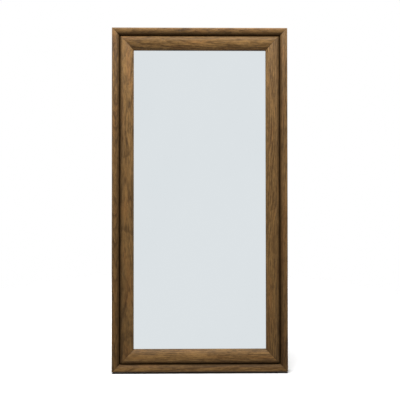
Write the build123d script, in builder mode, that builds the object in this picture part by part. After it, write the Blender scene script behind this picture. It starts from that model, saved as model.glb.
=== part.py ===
from build123d import *

# Free-standing full-length floor mirror: a two-part mitred wood frame round a plate of silvered glass,
# leaning back on a hinged rear strut.
#
# Millimetres, +Z up, the front faces -Y. The origin is on the floor, at the centre of the footprint.
# Places on the frame are given on the face plane: x to the right, y up the frame, z towards the front,
# with z = 0 on the frame's flat back. The strut has a plane of its own, with its origin on the hinge axis.

import os

# ---- driving dimensions -------------------------------------------------------------------------
frame_width = 920.0
frame_height = 1800.0
lean_angle = 6.0  # of the frame, back from the vertical
strut_angle = 6.5  # of the strut, forward from the vertical
hinge_drop = 520.0  # of the hinge axis, below the frame's top
back_edge_height = 2.4  # of the frame's lower back edge, above the floor

# outer moulding: a cushion that falls to the quirk, with a ledge behind the inner moulding
outer_cover = 38.0
outer_side = 50.0  # height of the plain outer side
outer_round = 8.0
outer_shelf = 34.0  # height where the cushion stops, above the quirk
outer_back_bevel = 1.5
ledge_reach = 34.0
ledge_depth = 22.0

# inner moulding: a broad rounded face that falls to the glass
quirk_width = 3.0
quirk_floor = 26.0
inner_cover = 73.0
inner_flank = 36.0
inner_crown = 50.0
inner_shoulder = 16.0
inner_sight = 28.5
sight_round = 2.0
rebate_lip = 12.0

# what the frame holds, from the front to the back
felt_thickness = 1.0
felt_width = 7.5
glass_front = 20.0  # height of the glass's front face
glass_thickness = 5.0
foam_thickness = 1.0
board_thickness = 4.0
plate_gap = 1.5  # round the glass, the foam and the board, inside the rebate
setting_pad_length = 45.0
setting_pad_offset = 210.0

# joints in the frame
dowel_radius = 4.0
dowel_length = 26.0
dowel_clearance = 0.05
outer_dowel_heights = (16.0, 36.0)
inner_dowel_height = 10.5
corner_arm = 110.0
corner_plate_width = 25.0
corner_plate_inset = 7.0
corner_plate_thickness = 2.0
corner_screw_places = (45.0, 92.0)  # along each arm, from the frame's outer edge

# screws
screw_radius = 1.75
screw_head_radius = 3.3
screw_clearance = 0.05
screw_slot = 0.7
pan_head_height = 2.0
corner_screw_length = 18.0
moulding_screw_length = 34.0
moulding_screw_inset = 56.0
moulding_screw_margin = 150.0  # from the frame's corner to the nearest screw
moulding_screw_pitch = 290.0  # the most between two screws
clip_screw_length = 16.0
batten_screw_length = 40.0
hinge_screw_length = 22.0
strap_screw_length = 18.0

# offset clips that hold the board
clip_width = 14.0
clip_thickness = 1.5
clip_foot = 20.0
clip_toe = 10.0
clip_margin = 190.0
clip_pitch = 330.0

# batten and strut
batten_height = 80.0
batten_thickness = 24.0
batten_inset = 14.0
batten_screw_insets = (30.0, 60.0)
batten_screw_rows = (20.0, 60.0)
strut_spread = 230.0  # of each leg's centre, from the middle
leg_width = 45.0
leg_thickness = 24.0
leg_edge = 3.0
strut_top_rail = 70.0
strut_low_rail = 50.0
low_rail_height = 354.0  # of the low rail's centre, up the strut from the floor
rail_thickness = 20.0
tenon_length = 28.0
tenon_thickness = 8.0
tenon_shoulder = 9.0
tenon_clearance = 0.1
peg_radius = 3.0
peg_clearance = 0.05
fold_gap = 2.0  # between the folded strut and the frame's back
foot_height = 8.0
foot_inset = 1.5
bumper_radius = 6.0
bumper_gap = 0.4
bumper_height = 49.0  # up the strut from the floor

# butt hinges, which close flush and so stop the strut
hinge_offset = 150.0  # of each hinge's centre, from the middle
hinge_length = 75.0
hinge_leaf = 22.0
hinge_leaf_thickness = 1.6
hinge_knuckles = 5
knuckle_radius = 3.0
knuckle_gap = 0.3
hinge_pin_radius = 1.5
pin_clearance = 0.05
pin_head = 1.0
hinge_stop_gap = 0.4  # between the two leaves when the strut is open
hinge_axis_forward = 3.2  # of the frame's flat back
hinge_screw_reach = 13.5  # of the screws, behind the hinge axis
hinge_screw_spread = 26.0

# glides under the frame
glide_length = 60.0
glide_depth = 38.0
glide_back = 6.0  # from the frame's back to the glide
glide_offset = 372.0

# hangers: a folded strap with a free D-ring
strap_drop = 280.0  # of the ring's axis, below the frame's top
strap_inset = 22.0
strap_width = 16.0
strap_length = 58.0
strap_thickness = 1.6
strap_screw_places = (20.0, 46.0)  # above the ring's axis
ring_wire = 1.5
ring_clearance = 0.1
ring_width = 27.0
ring_drop = 19.0
ring_shoulder = 3.0

# ---- worked out from the dimensions -------------------------------------------------------------
hinge_height = frame_height - hinge_drop
strap_height = frame_height - strap_drop
crown_height = outer_side + outer_round
ledge_end = outer_cover + ledge_reach
face_cover = outer_cover + inner_cover
rebate_wall = face_cover - rebate_lip
rebate_front = glass_front + felt_thickness
glass_back = glass_front - glass_thickness
board_front = glass_back - foam_thickness
board_back = board_front - board_thickness
half_width = frame_width / 2
half_plate = half_width - rebate_wall - plate_gap
plate_low = rebate_wall + plate_gap
plate_high = frame_height - rebate_wall - plate_gap
leg_front = -hinge_axis_forward - fold_gap
leg_back = leg_front - leg_thickness
leg_inner = strut_spread - leg_width / 2
wood_from_axis = hinge_stop_gap / 2 + hinge_leaf_thickness
csk_depth = screw_head_radius - screw_radius
eye_radius = ring_wire + ring_clearance + strap_thickness

across = Vector(1, 0, 0)
up_frame = Vector(0, 0, 1).rotate(Axis.X, -lean_angle)
front = Vector(0, -1, 0).rotate(Axis.X, -lean_angle)
up_strut = Vector(0, 0, 1).rotate(Axis.X, strut_angle)
strut_front = Vector(0, -1, 0).rotate(Axis.X, strut_angle)

# the footprint runs from the crown's lowest front line to the back of the strut's feet
hinge_from_edge = up_frame * hinge_height + front * hinge_axis_forward
leg_run = (hinge_from_edge.Z + back_edge_height) / up_strut.Z
footprint_front = (front * crown_height).Y
footprint_back = (hinge_from_edge - up_strut * leg_run + strut_front * leg_back).Y

edge_middle = Vector(0, -(footprint_front + footprint_back) / 2, back_edge_height)
face = Plane(origin=edge_middle, x_dir=across, z_dir=front)
under_frame = Plane(origin=edge_middle, x_dir=across, z_dir=up_frame)
strut = Plane(origin=edge_middle + hinge_from_edge, x_dir=across, z_dir=strut_front)
stop_plane = Plane(origin=strut.origin, x_dir=across, z_dir=up_frame)
knuckle_plane = Plane(origin=strut.origin, x_dir=front * -1, z_dir=across)
floor = Plane.XY

sides = ("bottom", "top", "left", "right")
corners = ((-1, 0), (1, 0), (-1, 1), (1, 1))  # side of the middle, then 0 at the bottom or 1 at the top
centred = (Align.CENTER, Align.CENTER, Align.CENTER)
below = (Align.CENTER, Align.CENTER, Align.MAX)
above = (Align.CENTER, Align.CENTER, Align.MIN)


# ---- shared pieces of work ----------------------------------------------------------------------
def write(piece, label):
    """Labels a finished piece and writes its STEP."""
    piece.part.label = label
    export_step(piece.part, f"parts/{label}.step")


def on_face(x, y, z=0.0):
    """The point at (x, y, z) of the face plane."""
    return face.from_local_coords(Vector(x, y, z))


def block(plane, x, y, z, mode=Mode.ADD):
    """A block between the (low, high) pairs x, y and z of a plane."""
    pairs = (x, y, z)
    middle = Vector(*[(low + high) / 2 for low, high in pairs])
    with Locations(plane * Location(middle)):
        Box(*[high - low for low, high in pairs], align=centred, mode=mode)


def spread(low, high, pitch):
    """Evenly spaced places from low to high, no further apart than the pitch."""
    spaces = max(1, round((high - low) / pitch + 0.5))
    return [low + (high - low) * step / spaces for step in range(spaces + 1)]


def behind(x, y, z=0.0):
    """The plane on the frame's back at (x, y), facing backwards, for a screw's head."""
    return Plane(origin=on_face(x, y, z), x_dir=across, z_dir=front * -1)


def flush_screws(places, length, slack=0.0, mode=Mode.ADD):
    """Countersunk screws with their heads flush on the given planes, or their holes."""
    places = list(places)
    with Locations(*places):
        Cone(screw_radius + slack, screw_head_radius + slack, csk_depth, align=below, mode=mode)
        Cylinder(screw_radius + slack, length, align=below, mode=mode)
    if mode == Mode.ADD:
        with Locations(*places):
            Box(2 * screw_head_radius, screw_slot, screw_slot, align=below, mode=Mode.SUBTRACT)


def pan_screws(places, length):
    """Screws with domed heads that stand on the given planes."""
    places = list(places)
    with Locations(*places):
        Cylinder(screw_radius, length, align=below)
        Cylinder(screw_head_radius, pan_head_height / 2, align=above)
    with Locations(*[place.offset(pan_head_height / 2) for place in places]):
        Cone(screw_head_radius, screw_head_radius / 2, pan_head_height / 2, align=above)
    with Locations(*[place.offset(pan_head_height) for place in places]):
        Box(2 * screw_head_radius, screw_slot, screw_slot, align=below, mode=Mode.SUBTRACT)


def bores(places, length, radius=screw_radius + screw_clearance):
    """Blind holes for plain shanks, from the given planes."""
    with Locations(*places):
        Cylinder(radius, length, align=below, mode=Mode.SUBTRACT)


# ---- mouldings ----------------------------------------------------------------------------------
def outer_outline():
    """The outer moulding's section: plain side, cushion, quirk wall, ledge. Its x runs inwards."""
    with BuildLine() as outline:
        Polyline((outer_back_bevel, 0), (0, outer_back_bevel), (0, outer_side))
        RadiusArc((0, outer_side), (outer_round, crown_height), outer_round)
        cushion = (outer_cover - outer_round, crown_height - outer_shelf)
        EllipticalCenterArc((outer_round, outer_shelf), *cushion, start_angle=0, arc_size=90)
        Polyline(
            (outer_cover, outer_shelf),
            (outer_cover, ledge_depth),
            (ledge_end, ledge_depth),
            (ledge_end, 0),
            (outer_back_bevel, 0),
        )
    return outline.edges()


def inner_outline():
    """The inner moulding's section: quirk floor, rounded flank, falling face, sight edge, rebate."""
    quirk = outer_cover + quirk_width
    crown = quirk + inner_shoulder
    sight = face_cover - sight_round
    with BuildLine() as outline:
        Polyline(
            (outer_cover, ledge_depth),
            (outer_cover, quirk_floor),
            (quirk, quirk_floor),
            (quirk, inner_flank),
        )
        shoulder = (inner_shoulder, inner_crown - inner_flank)
        EllipticalCenterArc((crown, inner_flank), *shoulder, start_angle=90, arc_size=90)
        TangentArc((crown, inner_crown), (sight, inner_sight), tangent=(1, 0))
        TangentArc((face_cover, inner_sight - 2 * sight_round), (sight, inner_sight), tangent=(0, 1))
        Polyline(
            (face_cover, inner_sight - 2 * sight_round),
            (face_cover, rebate_front),
            (rebate_wall, rebate_front),
            (rebate_wall, 0),
            (ledge_end, 0),
            (ledge_end, ledge_depth),
            (outer_cover, ledge_depth),
        )
    return outline.edges()


def side_section(side):
    """The section plane at a side's middle, x inwards and y to the front, and half its length."""
    middle, inwards, half = {
        "bottom": (on_face(0, 0), up_frame, half_width),
        "top": (on_face(0, frame_height), up_frame * -1, half_width),
        "left": (on_face(-half_width, frame_height / 2), across, frame_height / 2),
        "right": (on_face(half_width, frame_height / 2), across * -1, frame_height / 2),
    }[side]
    return Plane(origin=middle, x_dir=inwards, z_dir=inwards.cross(front)), half


def mitre_plane(sign, top, inset, height):
    """A plane on a corner's mitre, that far in from both outer edges, square across the joint."""
    edge = frame_height - inset if top else inset
    rise = up_frame if top else up_frame * -1
    middle = on_face(sign * (half_width - inset), edge, height)
    return Plane(origin=middle, x_dir=front, z_dir=rise - across * sign)


def dowel_planes(sign, top):
    """The planes of one corner's dowels."""
    for height in outer_dowel_heights:
        yield mitre_plane(sign, top, outer_cover / 2, height)
    yield mitre_plane(sign, top, (ledge_end + rebate_wall) / 2, inner_dowel_height)


def moulding(side, outline):
    """One mitred length of moulding, bored for its dowels."""
    section, half = side_section(side)
    with BuildSketch(section) as profile:
        make_face(outline)
    extrude(profile.sketch, amount=half, both=True)
    for along in (section.z_dir, section.z_dir * -1):
        corner = section.origin + along * half
        split(bisect_by=Plane(origin=corner, z_dir=along + section.x_dir), keep=Keep.BOTTOM)
    for sign, top in corners:
        if side in (("bottom", "top")[top], {-1: "left", 1: "right"}[sign]):
            with Locations(*dowel_planes(sign, top)):
                Cylinder(
                    dowel_radius + dowel_clearance, dowel_length, align=centred, mode=Mode.SUBTRACT
                )


def corner_screw_planes():
    """The planes of the screws through the corner plates."""
    inset = corner_plate_inset + corner_plate_width / 2
    for sign, top in corners:
        for place in corner_screw_places:
            for from_side, from_end in ((inset, place), (place, inset)):
                y = frame_height - from_end if top else from_end
                yield behind(sign * (half_width - from_side), y, -corner_plate_thickness)


def moulding_screw_planes():
    """The planes of the screws that draw the inner mouldings into the ledge."""
    ends = half_width - moulding_screw_margin
    for x in spread(-ends, ends, moulding_screw_pitch):
        yield behind(x, moulding_screw_inset)
        yield behind(x, frame_height - moulding_screw_inset)
    for y in spread(moulding_screw_margin, frame_height - moulding_screw_margin, moulding_screw_pitch):
        yield behind(moulding_screw_inset - half_width, y)
        yield behind(half_width - moulding_screw_inset, y)


def batten_screw_planes():
    """The planes of the screws that hold the batten across the frame's back."""
    for sign in (-1, 1):
        for inset in batten_screw_insets:
            for row in batten_screw_rows:
                y = hinge_height + wood_from_axis + row
                yield behind(sign * (half_width - inset), y, -batten_thickness)


def clip_planes():
    """One plane for each clip: its origin on the rebate's edge, x outwards to the foot, z backwards."""
    half_rebate = half_width - rebate_wall
    inner_end = half_rebate - clip_margin / 4
    for x in spread(-inner_end, inner_end, clip_pitch):
        yield Plane(on_face(x, rebate_wall), x_dir=up_frame * -1, z_dir=front * -1)
        yield Plane(on_face(x, frame_height - rebate_wall), x_dir=up_frame, z_dir=front * -1)
    batten_low = hinge_height + wood_from_axis
    runs = (
        (clip_margin, batten_low - clip_margin / 2),
        (batten_low + batten_height + clip_margin / 2, frame_height - clip_margin),
    )
    for low, high in runs:
        for y in spread(low, high, clip_pitch):
            yield Plane(on_face(-half_rebate, y), x_dir=across * -1, z_dir=front * -1)
            yield Plane(on_face(half_rebate, y), x_dir=across, z_dir=front * -1)


def clip_screw_planes():
    """The planes of the clips' screws, on the backs of their feet."""
    for place in clip_planes():
        yield place.shift_origin(place.origin + place.x_dir * clip_foot / 2).offset(clip_thickness)


def strap_screw_planes():
    """The planes of the hanger straps' screws."""
    for sign in (-1, 1):
        for place in strap_screw_places:
            x = sign * (half_width - strap_inset)
            yield behind(x, strap_height + place, -strap_thickness)


os.makedirs("parts", exist_ok=True)

for side in sides:
    with BuildPart() as outer_moulding:
        moulding(side, outer_outline())
        flush_screws(moulding_screw_planes(), moulding_screw_length, screw_clearance, Mode.SUBTRACT)
        bores(corner_screw_planes(), corner_screw_length)
        bores(batten_screw_planes(), batten_screw_length)
        bores(strap_screw_planes(), strap_screw_length)
    write(outer_moulding, f"outer_{side}_moulding")

    with BuildPart() as inner_moulding:
        moulding(side, inner_outline())
        bores(moulding_screw_planes(), moulding_screw_length)
        bores(clip_screw_planes(), clip_screw_length)
    write(inner_moulding, f"inner_{side}_moulding")

with BuildPart() as mitre_dowels:
    for sign, top in corners:
        with Locations(*dowel_planes(sign, top)):
            Cylinder(dowel_radius, dowel_length, align=centred)
write(mitre_dowels, "mitre_dowels")

with BuildPart() as moulding_screws:
    flush_screws(moulding_screw_planes(), moulding_screw_length)
write(moulding_screws, "moulding_screws")

for sign, top in corners:
    edge = corner_plate_inset
    reach = sorted((sign * (half_width - edge), sign * (half_width - corner_arm)))
    post = sorted((sign * (half_width - edge), sign * (half_width - edge - corner_plate_width)))
    low, high = (frame_height - corner_arm, frame_height - edge) if top else (edge, corner_arm)
    beam = (high - corner_plate_width, high) if top else (low, low + corner_plate_width)
    with BuildPart() as corner_plate:
        block(face, reach, beam, (-corner_plate_thickness, 0))
        block(face, post, (low, high), (-corner_plate_thickness, 0))
        flush_screws(corner_screw_planes(), corner_screw_length, screw_clearance, Mode.SUBTRACT)
    write(corner_plate, f"corner_plate_{('bottom', 'top')[top]}_{'left' if sign < 0 else 'right'}")

with BuildPart() as corner_screws:
    flush_screws(corner_screw_planes(), corner_screw_length)
write(corner_screws, "corner_screws")

# ---- glass and what holds it --------------------------------------------------------------------
for side in sides:
    section, half = side_section(side)
    start = rebate_wall + plate_gap
    half_strip = half - start - (felt_width if side in ("bottom", "top") else 0)
    with BuildPart() as glass_felt:
        block(
            section, (start, start + felt_width), (glass_front, rebate_front), (-half_strip, half_strip)
        )
    write(glass_felt, f"glass_felt_{side}")

with BuildPart() as mirror_glass:
    block(face, (-half_plate, half_plate), (plate_low, plate_high), (glass_back, glass_front))
write(mirror_glass, "mirror_glass")

with BuildPart() as setting_pads:
    for sign in (-1, 1):
        middle = sign * setting_pad_offset
        ends = (middle - setting_pad_length / 2, middle + setting_pad_length / 2)
        block(face, ends, (rebate_wall, plate_low), (board_back, glass_front))
write(setting_pads, "setting_pads")

with BuildPart() as foam_sheet:
    block(face, (-half_plate, half_plate), (plate_low, plate_high), (board_front, glass_back))
write(foam_sheet, "foam_sheet")

with BuildPart() as backing_board:
    block(face, (-half_plate, half_plate), (plate_low, plate_high), (board_back, board_front))
write(backing_board, "backing_board")

with BuildPart() as board_clips:
    half_clip = (-clip_width / 2, clip_width / 2)
    for place in clip_planes():
        block(place, (-clip_thickness, clip_foot), half_clip, (0, clip_thickness))
        block(place, (-clip_thickness, 0), half_clip, (-board_back, clip_thickness))
        block(place, (-clip_toe, 0), half_clip, (-board_back, clip_thickness - board_back))
    bores(clip_screw_planes(), 2 * clip_thickness)
write(board_clips, "board_clips")

with BuildPart() as clip_screws:
    pan_screws(clip_screw_planes(), clip_screw_length)
write(clip_screws, "clip_screws")

# ---- batten, hinges and strut -------------------------------------------------------------------
batten_low = hinge_height + wood_from_axis
half_batten = half_width - batten_inset
hinge_middles = {"left": -hinge_offset, "right": hinge_offset}
knuckle_length = hinge_length / hinge_knuckles


def hinge_screw_planes(up):
    """The planes of one leaf's screws on both hinges: up = 1 for the batten's leaf, -1 for the strut's."""
    for middle in hinge_middles.values():
        for shift in (-hinge_screw_spread, 0, hinge_screw_spread):
            place = Vector(middle + shift, hinge_screw_reach, up * hinge_stop_gap / 2)
            yield Plane(stop_plane.from_local_coords(place), x_dir=across, z_dir=up_frame * -up)


def hinge_leaf_piece(middle, up):
    """One leaf with its knuckles: the batten's leaf has the odd knuckles, the strut's the even ones."""
    flat = sorted((up * hinge_stop_gap / 2, up * wood_from_axis))
    ends = (middle - hinge_length / 2, middle + hinge_length / 2)
    block(stop_plane, ends, (knuckle_radius + knuckle_gap, hinge_leaf), flat)
    for knuckle in range(0 if up > 0 else 1, hinge_knuckles, 2):
        start = ends[0] + knuckle * knuckle_length + (knuckle_gap / 2 if knuckle else 0)
        last = knuckle == hinge_knuckles - 1
        stop = ends[0] + (knuckle + 1) * knuckle_length - (0 if last else knuckle_gap / 2)
        block(stop_plane, (start, stop), (0, knuckle_radius + knuckle_gap), flat)
        with Locations(knuckle_plane.offset(start)):
            Cylinder(knuckle_radius, stop - start, align=above)
    with Locations(knuckle_plane.offset(middle)):
        bore = hinge_pin_radius + pin_clearance
        Cylinder(bore, 2 * hinge_length, align=centred, mode=Mode.SUBTRACT)
    flush_screws(hinge_screw_planes(up), hinge_screw_length, screw_clearance, Mode.SUBTRACT)


with BuildPart() as hinge_batten:
    across_back = (-half_batten, half_batten)
    block(face, across_back, (batten_low, batten_low + batten_height), (-batten_thickness, 0))
    chamfer(hinge_batten.edges().filter_by(Axis.X).sort_by(Axis.Y)[-1:], leg_edge)
    flush_screws(batten_screw_planes(), batten_screw_length, screw_clearance, Mode.SUBTRACT)
    bores(hinge_screw_planes(1), hinge_screw_length)
write(hinge_batten, "hinge_batten")

with BuildPart() as batten_screws:
    flush_screws(batten_screw_planes(), batten_screw_length)
write(batten_screws, "batten_screws")

for side, middle in hinge_middles.items():
    with BuildPart() as batten_leaf:
        hinge_leaf_piece(middle, 1)
    write(batten_leaf, f"batten_leaf_{side}")

    with BuildPart() as strut_leaf:
        hinge_leaf_piece(middle, -1)
    write(strut_leaf, f"strut_leaf_{side}")

    with BuildPart() as hinge_pin:
        with Locations(knuckle_plane.offset(middle)):
            Cylinder(hinge_pin_radius, hinge_length, align=centred)
        for end, align in ((-hinge_length / 2, below), (hinge_length / 2, above)):
            with Locations(knuckle_plane.offset(middle + end)):
                Cylinder(knuckle_radius - pin_clearance, pin_head, align=align)
    write(hinge_pin, f"hinge_pin_{side}")

for up, owner in ((1, "batten"), (-1, "strut")):
    with BuildPart() as hinge_screws:
        flush_screws(hinge_screw_planes(up), hinge_screw_length)
    write(hinge_screws, f"{owner}_hinge_screws")

head_plane = stop_plane.offset(-wood_from_axis)
rail_back = leg_front - rail_thickness
tenon_front = (leg_front + rail_back + tenon_thickness) / 2
tenon_z = (tenon_front - tenon_thickness, tenon_front)
low_rail_low = low_rail_height - strut_low_rail / 2 - leg_run
rails = {  # how tall each rail is, and the ends of its block up the strut from the hinge axis
    "top": (strut_top_rail, -strut_top_rail - wood_from_axis, leg_thickness),
    "low": (strut_low_rail, low_rail_low, low_rail_low + strut_low_rail),
}


def tenons(rail, slack=0.0, mode=Mode.ADD):
    """A strut rail's two tenons, or the mortises for them."""
    height, low, _ = rails[rail]
    heights = (low + tenon_shoulder - slack, low + height - tenon_shoulder + slack)
    thick = (tenon_z[0] - slack, tenon_z[1] + slack)
    for sign in (-1, 1):
        reach = sorted((sign * leg_inner, sign * (leg_inner + tenon_length + slack)))
        block(strut, reach, heights, thick, mode)


def peg_planes():
    """The planes of the pegs through the tenons, on the strut's front."""
    for rail, shares in (("top", (0.3, 0.7)), ("low", (0.5,))):
        height, low, _ = rails[rail]
        for share in shares:
            for sign in (-1, 1):
                place = Vector(sign * (leg_inner + tenon_length / 2), low + height * share, leg_front)
                yield Plane(strut.from_local_coords(place), x_dir=across, z_dir=strut_front)


for side, sign in (("left", -1), ("right", 1)):
    width = sorted((sign * leg_inner, sign * (leg_inner + leg_width)))
    foot_width = (width[0] + foot_inset, width[1] - foot_inset)
    with BuildPart() as strut_leg:
        block(strut, width, (-leg_run - leg_thickness, leg_thickness), (leg_back, leg_front))
        chamfer(strut_leg.edges().filter_by(Axis(strut.origin, up_strut)), leg_edge)
        split(bisect_by=head_plane, keep=Keep.BOTTOM)
        split(bisect_by=floor.offset(foot_height), keep=Keep.TOP)
        for rail in rails:
            tenons(rail, tenon_clearance, Mode.SUBTRACT)
        bores(peg_planes(), leg_thickness, peg_radius + peg_clearance)
    write(strut_leg, f"strut_leg_{side}")

    with BuildPart() as strut_foot:
        thick = (leg_back + foot_inset, leg_front - foot_inset)
        block(strut, foot_width, (-leg_run - leg_thickness, -leg_run + leg_thickness), thick)
        split(bisect_by=floor, keep=Keep.TOP)
        split(bisect_by=floor.offset(foot_height), keep=Keep.BOTTOM)
    write(strut_foot, f"strut_foot_{side}")

for rail, (_, low, high) in rails.items():
    with BuildPart() as strut_rail:
        block(strut, (-leg_inner, leg_inner), (low, high), (rail_back, leg_front))
        split(bisect_by=head_plane, keep=Keep.BOTTOM)
        tenons(rail)
        bores(peg_planes(), leg_thickness, peg_radius + peg_clearance)
        bores(hinge_screw_planes(-1), hinge_screw_length)
    write(strut_rail, f"strut_{rail}_rail")

with BuildPart() as strut_pegs:
    with Locations(*peg_planes()):
        Cylinder(peg_radius, leg_thickness, align=below)
write(strut_pegs, "strut_pegs")

with BuildPart() as strut_bumpers:
    for sign in (-1, 1):
        up_leg = bumper_height - leg_run
        place = strut.from_local_coords(Vector(sign * strut_spread, up_leg, leg_front))
        with Locations(Plane(place, x_dir=across, z_dir=strut_front)):
            Cylinder(bumper_radius, fold_gap - bumper_gap, align=above)
write(strut_bumpers, "strut_bumpers")

# ---- glides and hangers -------------------------------------------------------------------------
for side, sign in (("left", -1), ("right", 1)):
    with BuildPart() as glide:
        middle = sign * glide_offset
        ends = (middle - glide_length / 2, middle + glide_length / 2)
        block(under_frame, ends, (-glide_back - glide_depth, -glide_back), (-crown_height, 0))
        split(bisect_by=floor, keep=Keep.TOP)
    write(glide, f"glide_{side}")

    x = sign * (half_width - strap_inset)
    ring_axis = Plane(origin=on_face(x, strap_height, -eye_radius), x_dir=front * -1, z_dir=across)
    with BuildPart() as hanger_strap:
        half_strap = (x - strap_width / 2, x + strap_width / 2)
        height = (strap_height, strap_height + strap_length)
        block(face, half_strap, height, (-strap_thickness, 0))
        with Locations(ring_axis):
            Cylinder(eye_radius, strap_width, align=centred)
            eye_bore = ring_wire + ring_clearance
            Cylinder(eye_bore, 2 * strap_width, align=centred, mode=Mode.SUBTRACT)
        bores(strap_screw_planes(), 2 * strap_thickness)
    write(hanger_strap, f"hanger_strap_{side}")

    half_ring = ring_width / 2 - ring_wire
    hanging = Plane(origin=ring_axis.origin, x_dir=across, z_dir=(0, -1, 0))
    with BuildPart() as hanger_ring:
        with BuildLine(hanging) as loop:
            Line((-half_ring + ring_shoulder, 0), (half_ring - ring_shoulder, 0))
            RadiusArc((half_ring - ring_shoulder, 0), (half_ring, -ring_shoulder), ring_shoulder)
            Line((half_ring, -ring_shoulder), (half_ring, half_ring - ring_drop))
            RadiusArc((half_ring, half_ring - ring_drop), (-half_ring, half_ring - ring_drop), half_ring)
            Line((-half_ring, half_ring - ring_drop), (-half_ring, -ring_shoulder))
            RadiusArc((-half_ring, -ring_shoulder), (-half_ring + ring_shoulder, 0), ring_shoulder)
        with BuildSketch(Plane(origin=hanging.origin, z_dir=across)):
            Circle(ring_wire)
        sweep()
    write(hanger_ring, f"hanger_ring_{side}")

with BuildPart() as strap_screws:
    pan_screws(strap_screw_planes(), strap_screw_length)
write(strap_screws, "strap_screws")
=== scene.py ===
import math
import random

import bmesh
import bpy
from mathutils import Matrix, Vector, geometry, noise


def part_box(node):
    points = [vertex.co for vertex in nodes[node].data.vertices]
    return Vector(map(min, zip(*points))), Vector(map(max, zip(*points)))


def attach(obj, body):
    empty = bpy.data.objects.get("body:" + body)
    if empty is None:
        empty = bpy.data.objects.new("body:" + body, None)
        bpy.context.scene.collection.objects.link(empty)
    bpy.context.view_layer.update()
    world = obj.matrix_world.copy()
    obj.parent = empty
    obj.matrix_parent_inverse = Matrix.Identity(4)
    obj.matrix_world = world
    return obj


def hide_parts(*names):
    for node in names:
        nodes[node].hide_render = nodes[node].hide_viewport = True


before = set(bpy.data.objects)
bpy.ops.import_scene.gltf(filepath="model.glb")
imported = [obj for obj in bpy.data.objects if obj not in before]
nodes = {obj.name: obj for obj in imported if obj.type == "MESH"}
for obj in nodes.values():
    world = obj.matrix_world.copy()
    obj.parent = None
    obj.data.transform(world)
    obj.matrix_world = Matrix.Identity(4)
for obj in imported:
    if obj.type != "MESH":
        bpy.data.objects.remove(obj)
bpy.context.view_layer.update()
floorUp = Vector((0, 0, 1))
acrossDir = Vector((1, 0, 0))


def broadNormal(nodeName):  # the direction of a node's largest face, of those that don't face sideways
    faces = [face for face in nodes[nodeName].data.polygons if abs(face.normal.x) < 0.1]
    return max(faces, key=lambda face: (round(face.area, 6), -face.normal.y)).normal.normalized()


# The frame leans back and the strut leans forward, so each has directions of its own.
frontDir = broadNormal("mirror_glass")
upDir = frontDir.cross(acrossDir)
strutFront = broadNormal("strut_leg_left")
strutDir = strutFront.cross(acrossDir)


def spanAlong(nodeNames, direction):  # how far some nodes reach along a direction, lowest and highest
    reach = [v.co.dot(direction) for name in nodeNames for v in nodes[name].data.vertices]
    return min(reach), max(reach)


sides = ("bottom", "top", "left", "right")
outerNodes = [f"outer_{side}_moulding" for side in sides]
lowEdge, highEdge = spanAlong(outerNodes, upDir)
backFace = spanAlong(outerNodes, frontDir)[0]
frameHeight = highEdge - lowEdge
halfWidth = spanAlong(outerNodes, acrossDir)[1]
frameOrigin = upDir * lowEdge + frontDir * backFace  # the middle of the frame's lower back edge


def onFrame(x, y, z=0.0):  # a point given across, up the frame and out from its flat back
    return frameOrigin + acrossDir * x + upDir * y + frontDir * z


print("frame", round(2 * halfWidth, 3), "by", round(frameHeight, 3), "m")

# shader helpers


def addNode(tree, kind, **settings):
    node = tree.nodes.new(kind if kind.startswith("Node") else "ShaderNode" + kind)
    for name, value in settings.items():
        setattr(node, name, value)
    return node


def put(tree, socket, value):  # links a socket, or sets a number, vector or colour
    if isinstance(value, bpy.types.NodeSocket):
        tree.links.new(value, socket)
    else:
        socket.default_value = value


def feed(tree, node, **inputs):  # by input name, with _ for a space
    for name, value in inputs.items():
        put(tree, node.inputs[name.replace("_", " ")], value)
    return node


def sums(tree, operation, *values, clamp=False):
    node = addNode(tree, "Math", operation=operation, use_clamp=clamp)
    for socket, value in zip(node.inputs, values):
        put(tree, socket, value)
    return node.outputs[0]


def vectorSums(tree, operation, *values):
    node = addNode(tree, "VectorMath", operation=operation)
    for socket, value in zip(node.inputs, values):
        put(tree, socket, value)
    return node.outputs[0]


def remap(tree, value, low, high, toLow=0.0, toHigh=1.0):  # a smooth step between two values
    node = addNode(tree, "MapRange", interpolation_type="SMOOTHSTEP")
    feed(tree, node, Value=value, From_Min=low, From_Max=high, To_Min=toLow, To_Max=toHigh)
    return node.outputs["Result"]


def blendColours(tree, amount, first, second, kind="MIX"):
    node = addNode(tree, "Mix", data_type="RGBA", blend_type=kind)
    for index, value in ((0, amount), (6, first), (7, second)):
        put(tree, node.inputs[index], value)
    return node.outputs[2]


def cloud(tree, place, repeats, detail=2.0, rough=0.5, warp=0.0):  # noise from 0 to 1
    node = addNode(tree, "TexNoise", noise_dimensions="3D")
    feed(tree, node, Vector=vectorSums(tree, "MULTIPLY", place, repeats), Scale=1.0)
    feed(tree, node, Detail=detail, Roughness=rough, Distortion=warp)
    return node.outputs["Fac"]


def newGroup(name, inputs, outputs):
    group = bpy.data.node_groups.new(name, "ShaderNodeTree")
    for label, kind, default in inputs:
        socket = group.interface.new_socket(label, in_out="INPUT", socket_type="NodeSocket" + kind)
        if default is not None:
            socket.default_value = default
    for label, kind in outputs:
        group.interface.new_socket(label, in_out="OUTPUT", socket_type="NodeSocket" + kind)
    return group, addNode(group, "NodeGroupInput"), addNode(group, "NodeGroupOutput")


# shared effects

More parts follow.
